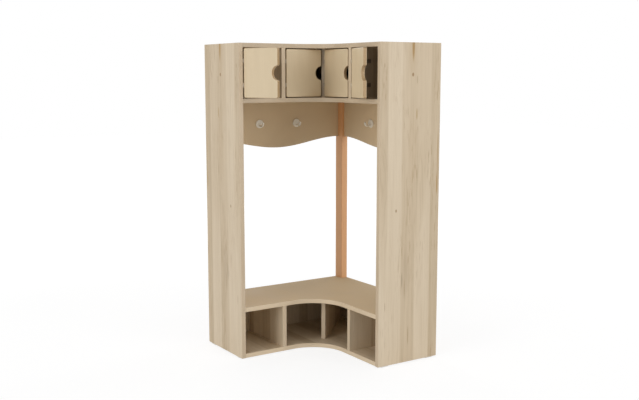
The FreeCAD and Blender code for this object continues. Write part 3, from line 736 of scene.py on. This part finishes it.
def from_door(door, swing, point):
    """Point of a door's own frame, moved to where the door stands when it is swung open."""
    axis, turn = door_frame(door, swing)
    offset = Vector(point) - Vector((HINGE_GAP / 2, 0, 0))
    return axis + Matrix.Rotation(math.radians(-turn), 3, "Z") @ offset


def screw_spot(door, swing, level, point, way):
    """Seat of a screw head at a level, and the way that its head looks."""
    seat = from_door(door, swing, point)
    ahead = from_door(door, swing, (point[0] + way[0], point[1] + way[1], 0))
    return Vector((seat.x, seat.y, level)), ahead - seat


def strap_seat(door, distance):
    """Seat of a screw on the strap beside a door, and the way that it looks, in the door's frame."""
    turn = math.radians(door.strap_turn)
    bend = BOARD / math.sqrt(2) + door.face - FRONT if door.strap_turn else 0.0
    along = Vector((-math.sin(turn), math.cos(turn), 0))
    off = Vector((math.cos(turn), math.sin(turn), 0))
    return Vector((0, bend, 0)) + along * (distance - bend) + off * LEAF, off


def point_mesh(name, places):
    """Points with an axis each, for a tree to grow on."""
    mesh = bpy.data.meshes.new(name)
    mesh.from_pydata([place for place, _ in places], [], [])
    axes = mesh.attributes.new("axis", "FLOAT_VECTOR", "POINT")
    axes.data.foreach_set("vector", [value for _, axis in places for value in axis])
    return mesh


HINGE_SCREW = {
    "Head Diameter": 0.006, "Head Height": 0.0016, "Shank Diameter": 0.003, "Shank Length": 0.0103,
    "Recess Width": 0.0009, "Recess Depth": 0.0008,
}
HOOK_SCREW = {
    "Head Diameter": 0.008, "Head Height": 0.0025, "Shank Diameter": 0.004, "Shank Length": 0.0182,
    "Recess Width": 0.0012, "Recess Depth": 0.0012,
}
cross_head_screws = screw_tree()


def screw_piece(name, places, sizes, finish):
    """Screws of one size at several places, as one piece."""
    return grow(name, point_mesh(name, places), cross_head_screws, sizes, finish)


frame_places = []
for name, door in DOORS.items():
    door_places = []
    for level in HINGE_LEVELS:
        for distance in STRAP_SCREWS:
            seat, way = strap_seat(door, distance)
            frame_places.append(screw_spot(door, 0, level, seat, way))
        for distance in WRAP_SCREWS:
            seat = (HINGE_GAP + distance, DOOR_THICKNESS + LEAF, 0)
            door_places.append(screw_spot(door, door.ajar, level, seat, (0, 1, 0)))
    door_screws = screw_piece(name + "_cross_screws", door_places, HINGE_SCREW, hinge_finish)
    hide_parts(name + "_hinge_screws")
    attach(door_screws, name)

frame_screws = screw_piece("frame_cross_screws", frame_places, HINGE_SCREW, hinge_finish)
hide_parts("hinge_frame_screws")
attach(frame_screws, "carcass")

hook_places = []
for place in HOOK_PLACES:
    depth = WALL - HOOK_SCREW_SINK
    hook_places.append((Vector((place, depth, HOOK_LEVEL)), Vector((0, 1, 0))))
    hook_places.append((Vector((depth, place, HOOK_LEVEL)), Vector((1, 0, 0))))
hook_screws = screw_piece("hook_cross_screws", hook_places, HOOK_SCREW, fitting_finish)
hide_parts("hook_screws")
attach(hook_screws, "carcass")


# Wavy hook boards

wave_boards = wave_board_tree()
for wing, turn, side in (("left", 0, 1), ("right", -90, -1)):
    length = POST_FACES[wing] - PANEL_FACE
    middle = (POST_FACES[wing] + PANEL_FACE) / 2
    first_hook, second_hook = (side * (place - middle) for place in HOOK_PLACES)
    values = {
        "Length": length, "Thickness": BOARD, "Top": SHELF_LEVEL,
        "Wave Mean": WAVE_MEAN, "Wave Height": WAVE_HEIGHT,
        "First Hook": first_hook, "Second Hook": second_hook, "Hook Level": HOOK_LEVEL,
        "Hole Diameter": SCREW_HOLE, "Hole Depth": SCREW_HOLE_DEPTH,
    }
    board = grow(wing + "_wavy_board", bpy.data.meshes.new("seed"), wave_boards, values, hook_board_finish)
    corner = (middle, WALL - BOARD, 0) if wing == "left" else (WALL - BOARD, middle, 0)
    board.data.transform(Matrix.Translation(corner) @ Matrix.Rotation(math.radians(turn), 4, "Z"))
    ease = board.modifiers.new("eased_edges", "BEVEL")
    ease.width = EASED_EDGE
    ease.segments = 2
    ease.angle_limit = math.radians(EASED_ANGLE)
    ease.harden_normals = True
    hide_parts(wing + "_hook_board")
    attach(board, "carcass")


# Studio: floor, white surround, soft light and the photograph's camera
FLOOR_REACH = 14.0
FLOOR_GREY, SEEN_FLOOR_GREY = (0.80, 0.80, 0.80), (0.26, 0.26, 0.26)
NEAR_FLOOR, FAR_FLOOR = 1.5, 4.5
NEAR_GLOW, FAR_GLOW = 0.805, 0.900
AMBIENT = 0.435
WHITE = (1, 1, 1, 1)
LAMP_AIM = (0, 0, 0.7)

# Each lamp: its place, the side of its square and its power in watts
LAMPS = {
    "left_lamp": ((-9.0, -1.2, 2.5), 5.0, 322),
    "right_lamp": ((2.4, -8.8, 2.5), 5.0, 276),
    "top_lamp": ((-1.0, -1.0, 4.6), 2.0, 12),
    "back_left_lamp": ((1.0, 4.5, 1.6), 2.0, 40),
    "back_right_lamp": ((4.5, 1.0, 1.6), 2.0, 40),
}
CAMERA_PLACE = (-2.0991, -3.2007, 1.1738)
CAMERA_TURN = (82.2269, 0, -33.2456)
CAMERA_LENS = 51.345
CAMERA_SENSOR = 36.0


def light_path(tree):
    """1 for what the camera sees directly, in a reflection or through glass."""
    path = add(tree, "ShaderNodeLightPath").outputs
    seen = calc(tree, "MAXIMUM", path["Is Camera Ray"], path["Is Glossy Ray"])
    return calc(tree, "MAXIMUM", seen, path["Is Transmission Ray"])


def studio_floor():
    """Pale floor that looks white and keeps a soft shadow."""
    mesh = bpy.data.meshes.new("studio_floor")
    corners = [(x * FLOOR_REACH, y * FLOOR_REACH, 0) for x, y in ((-1, -1), (1, -1), (1, 1), (-1, 1))]
    mesh.from_pydata(corners, [], [(0, 1, 2, 3)])
    floor = bpy.data.objects.new("studio_floor", mesh)
    bpy.context.scene.collection.objects.link(floor)
    material = bpy.data.materials.new("studio_floor")
    material.use_nodes = True
    tree = material.node_tree
    tree.nodes.clear()
    seen = light_path(tree)
    matt = add(tree, "ShaderNodeBsdfDiffuse", {"Color": tinted(tree, seen, FLOOR_GREY, SEEN_FLOOR_GREY)})
    distance = measure(tree, "LENGTH", on_piece(tree))
    glow = span(tree, distance, NEAR_FLOOR, FAR_FLOOR, NEAR_GLOW, FAR_GLOW)
    strength = calc(tree, "MULTIPLY", seen, glow)
    white = add(tree, "ShaderNodeEmission", {"Color": WHITE, "Strength": strength})
    both = add(tree, "ShaderNodeAddShader", {0: matt.outputs[0], 1: white.outputs[0]}).outputs[0]
    add(tree, "ShaderNodeOutputMaterial", {"Surface": both})
    mesh.materials.append(material)


def studio_world():
    """White surround for the camera, and weaker even light on the object."""
    world = bpy.data.worlds.new("studio")
    bpy.context.scene.world = world
    world.use_nodes = True
    tree = world.node_tree
    tree.nodes.clear()
    strength = span(tree, light_path(tree), 0.0, 1.0, AMBIENT, 1.0)
    light = add(tree, "ShaderNodeBackground", {"Color": WHITE, "Strength": strength}).outputs[0]
    add(tree, "ShaderNodeOutputWorld", {"Surface": light})


def soft_lamp(name, place, size, power):
    """Large square lamp that looks at the middle of the unit."""
    data = bpy.data.lights.new(name, "AREA")
    data.shape = "SQUARE"
    data.size = size
    data.energy = power
    lamp = bpy.data.objects.new(name, data)
    lamp.location = place
    lamp.visible_camera = False
    lamp.rotation_euler = (Vector(LAMP_AIM) - Vector(place)).to_track_quat("-Z", "Y").to_euler()
    bpy.context.scene.collection.objects.link(lamp)


def photo_camera():
    """Camera at the photograph's place."""
    data = bpy.data.cameras.new("photo_camera")
    data.sensor_fit = "HORIZONTAL"
    data.sensor_width = CAMERA_SENSOR
    data.lens = CAMERA_LENS
    camera = bpy.data.objects.new("photo_camera", data)
    camera.location = CAMERA_PLACE
    camera.rotation_euler = [math.radians(angle) for angle in CAMERA_TURN]
    bpy.context.scene.collection.objects.link(camera)
    bpy.context.scene.camera = camera


studio_floor()
studio_world()
for name, (place, size, power) in LAMPS.items():
    soft_lamp(name, place, size, power)
photo_camera()
bpy.context.scene.view_settings.view_transform = "Standard"
